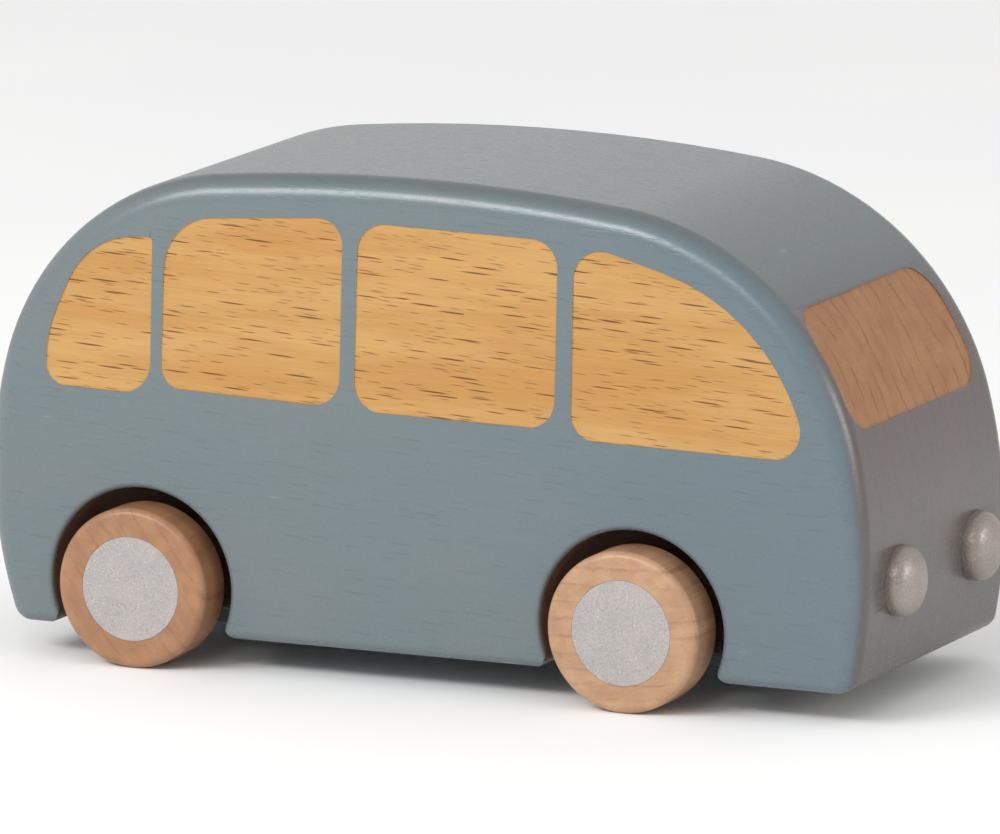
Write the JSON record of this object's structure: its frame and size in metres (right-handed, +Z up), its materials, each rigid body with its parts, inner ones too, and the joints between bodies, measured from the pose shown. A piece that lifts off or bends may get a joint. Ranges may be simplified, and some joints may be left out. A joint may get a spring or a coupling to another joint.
{
  "type": "toy bus",
  "caption": "Wooden toy bus: a solid rounded block with painted sides and bare-wood windows, rolling on turned wheels glued to free-turning axles, with domed lamp knobs.",
  "frame": {"origin": "on the ground under the middle of the bus's bounding box", "axes": "+X towards the front of the bus, +Y to its left side, +Z up"},
  "size_m": [0.1862, 0.081, 0.0968],
  "materials": {
    "painted_block": "satin",
    "beech": "satin",
    "silver": "satin"
  },
  "bodies": {
    "body": {"body": "painted_block", "headlight_left": "silver", "headlight_right": "silver"},
    "front_wheelset": {"front_axle": "beech", "wheel_front_left": "beech", "wheel_front_right": "beech", "hub_disc_front_left": "silver", "hub_disc_front_right": "silver", "spacer_front_left": "beech", "spacer_front_right": "beech"},
    "rear_wheelset": {"rear_axle": "beech", "wheel_rear_left": "beech", "wheel_rear_right": "beech", "hub_disc_rear_left": "silver", "hub_disc_rear_right": "silver", "spacer_rear_left": "beech", "spacer_rear_right": "beech"}
  },
  "joints": [
    {"name": "front_axle_spin", "type": "hinge", "parent": "body", "child": "front_wheelset", "pos_m": [0.04111, 0, 0.0154], "axis": [0, 1, 0], "continuous": true},
    {"name": "rear_axle_spin", "type": "hinge", "parent": "body", "child": "rear_wheelset", "pos_m": [-0.06049, 0, 0.0154], "axis": [0, 1, 0], "continuous": true}
  ]
}
